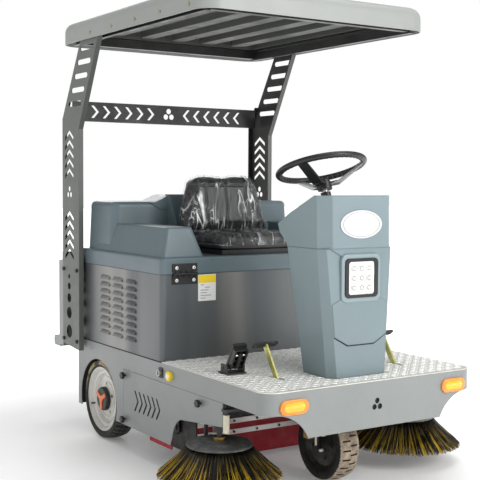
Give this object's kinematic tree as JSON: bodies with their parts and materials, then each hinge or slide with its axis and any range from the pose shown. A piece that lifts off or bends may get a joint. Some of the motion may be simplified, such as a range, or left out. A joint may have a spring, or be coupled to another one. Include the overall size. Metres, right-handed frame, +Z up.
{
  "type": "ride-on sweeper",
  "caption": "Ride-on floor sweeper with canopy roof, steering column, seat on a tip-up cover, checker-plate deck, side brushes, roller brush and three wheels.",
  "frame": {"origin": "centre of the footprint's bounding box, on the floor plane the wheels stand on", "axes": "+X forward, +Y the driver's left, +Z up"},
  "size_m": [1.8581, 1.46, 2.008],
  "materials": {
    "black_steel": "satin black paint",
    "checker_plate": "bright checker plate",
    "grey_paint": "grey powder coat",
    "amber_lens": "amber lens",
    "dark_plastic": "black plastic",
    "cabinet_metal": "satin dark grey metallic",
    "zinc": "zinc plated",
    "roof_grey": "grey moulded roof",
    "liner_dark": "dark textured liner",
    "blue_grey_plastic": "blue-grey moulded plastic",
    "bezel_plastic": "light blue-grey plastic",
    "lamp_lens": "white lens",
    "badge_white": "blank white badge",
    "bright_steel": "bright steel",
    "tyre": "black rubber",
    "silver_rim": "silver paint",
    "brush_disc": "dark grey plastic",
    "bristle": "black and yellow nylon bristles",
    "red_rubber": "red rubber",
    "strip_aluminium": "mill finish",
    "yellow_zinc": "yellow zinc plated",
    "vinyl": "black vinyl"
  },
  "bodies": {
    "chassis": {"chassis_frame": "black_steel", "deck_plate": "checker_plate", "front_apron": "grey_paint", "signal_lamps": "amber_lens", "side_panel_right": "grey_paint", "side_panel_left": "grey_paint", "charge_socket": "dark_plastic", "cabinet_shell": "cabinet_metal", "battery_pack": "dark_plastic", "rear_bumper": "grey_paint", "post_right": "grey_paint", "post_left": "grey_paint", "canopy_fasteners": "zinc", "cross_bar": "black_steel", "roof_shell": "roof_grey", "roof_liner": "liner_dark", "roof_rails": "black_steel", "column_shell": "blue_grey_plastic", "column_hood": "blue_grey_plastic", "lamp_bezel": "bezel_plastic", "headlamp_body": "dark_plastic", "headlamp_lens": "lamp_lens", "badge_plate": "badge_white", "steering_jacket": "dark_plastic", "rear_axle": "black_steel", "brush_tunnel": "black_steel", "tunnel_flaps": "red_rubber", "flap_strips": "strip_aluminium", "pedal_base": "black_steel", "hinge_fixed": "black_steel"},
    "cover": {"top_cover": "blue_grey_plastic", "seat_base": "black_steel", "seat_cushion": "vinyl", "seat_back": "vinyl", "hinge_moving": "black_steel"},
    "steering": {"steering_wheel": "dark_plastic", "steering_shaft": "bright_steel"},
    "fork": {"front_fork": "black_steel"},
    "front_wheel": {"front_tyre": "tyre", "front_rim": "black_steel"},
    "rear_wheel_right": {"rear_tyre_right": "tyre", "rear_rim_right": "silver_rim", "hub_cap_right": "dark_plastic"},
    "rear_wheel_left": {"rear_tyre_left": "tyre", "rear_rim_left": "silver_rim", "hub_cap_left": "dark_plastic"},
    "brush_carrier_right": {"side_arm_right": "black_steel"},
    "brush_carrier_left": {"side_arm_left": "black_steel"},
    "side_brush_right": {"side_brush_disc_right": "brush_disc", "side_bristles_right": "bristle"},
    "side_brush_left": {"side_brush_disc_left": "brush_disc", "side_bristles_left": "bristle"},
    "roller_brush": {"main_brush": "bristle"},
    "accelerator": {"accelerator_pedal": "dark_plastic"},
    "lever_right": {"lift_lever_right": "yellow_zinc"},
    "lever_left": {"lift_lever_left": "yellow_zinc"},
    "door_right": {"side_door_right": "grey_paint"},
    "door_left": {"side_door_left": "grey_paint"},
    "hopper": {"debris_hopper": "black_steel"},
    "key": {"ignition_key": "dark_plastic"}
  },
  "joints": [
    {"name": "cover_tilt", "type": "hinge", "parent": "chassis", "child": "cover", "pos_m": [0.147, 0, 0.829], "axis": [0, 1, 0], "range_deg": [0, 50]},
    {"name": "steering_turn", "type": "hinge", "parent": "chassis", "child": "steering", "pos_m": [0.55, 0, 1.28], "axis": [-0.3007, 0, 0.9537], "range_deg": [-110, 110]},
    {"name": "fork_steer", "type": "hinge", "parent": "chassis", "child": "fork", "pos_m": [0.615, 0, 0.4], "axis": [0, 0, 1], "range_deg": [-55, 55]},
    {"name": "front_wheel_spin", "type": "hinge", "parent": "fork", "child": "front_wheel", "pos_m": [0.615, 0, 0.15], "axis": [0, 1, 0], "continuous": true},
    {"name": "rear_wheel_right_spin", "type": "hinge", "parent": "chassis", "child": "rear_wheel_right", "pos_m": [-0.485, -0.459, 0.188], "axis": [0, 1, 0], "continuous": true},
    {"name": "rear_wheel_left_spin", "type": "hinge", "parent": "chassis", "child": "rear_wheel_left", "pos_m": [-0.485, 0.459, 0.188], "axis": [0, 1, 0], "continuous": true},
    {"name": "lever_right_pivot", "type": "hinge", "parent": "chassis", "child": "lever_right", "pos_m": [0.69, -0.302, 0.43], "axis": [0, 1, 0], "range_deg": [0, 34]},
    {"name": "lever_left_pivot", "type": "hinge", "parent": "chassis", "child": "lever_left", "pos_m": [0.69, 0.302, 0.43], "axis": [0, 1, 0], "range_deg": [0, 34]},
    {"name": "brush_lift_right", "type": "slide", "parent": "chassis", "child": "brush_carrier_right", "axis": [0, 0, 1], "range_m": [-0.062, 0]},
    {"name": "brush_lift_left", "type": "slide", "parent": "chassis", "child": "brush_carrier_left", "axis": [0, 0, 1], "range_m": [-0.062, 0]},
    {"name": "side_brush_right_spin", "type": "hinge", "parent": "brush_carrier_right", "child": "side_brush_right", "pos_m": [0.54, -0.48, 0.2], "axis": [0, 0, 1], "continuous": true},
    {"name": "side_brush_left_spin", "type": "hinge", "parent": "brush_carrier_left", "child": "side_brush_left", "pos_m": [0.54, 0.48, 0.2], "axis": [0, 0, 1], "continuous": true},
    {"name": "roller_brush_spin", "type": "hinge", "parent": "chassis", "child": "roller_brush", "pos_m": [0.01, 0, 0.136], "axis": [0, 1, 0], "continuous": true},
    {"name": "accelerator_press", "type": "hinge", "parent": "chassis", "child": "accelerator", "pos_m": [0.512, -0.402, 0.488], "axis": [0, 1, 0], "range_deg": [0, 20], "stiffness_Nm_per_rad": 4, "springref_deg": -8.59},
    {"name": "door_right_liftoff", "type": "slide", "parent": "chassis", "child": "door_right", "axis": [0, -1, 0], "range_m": [0, 0.3]},
    {"name": "door_left_liftoff", "type": "slide", "parent": "chassis", "child": "door_left", "axis": [0, 1, 0], "range_m": [0, 0.3]},
    {"name": "hopper_slide", "type": "slide", "parent": "chassis", "child": "hopper", "axis": [-1, 0, 0], "range_m": [0, 0.32]},
    {"name": "key_turn", "type": "hinge", "parent": "chassis", "child": "key", "pos_m": [0.604, -0.11, 1.107], "axis": [-0.4035, 0, 0.915], "range_deg": [-60, 0]}
  ],
  "couplings": [
    {"joint": "fork_steer", "follows": "steering_turn", "ratio": 0.5},
    {"joint": "brush_lift_right", "follows": "lever_right_pivot", "m_per_rad": -0.10448},
    {"joint": "brush_lift_left", "follows": "lever_left_pivot", "m_per_rad": -0.10448}
  ]
}
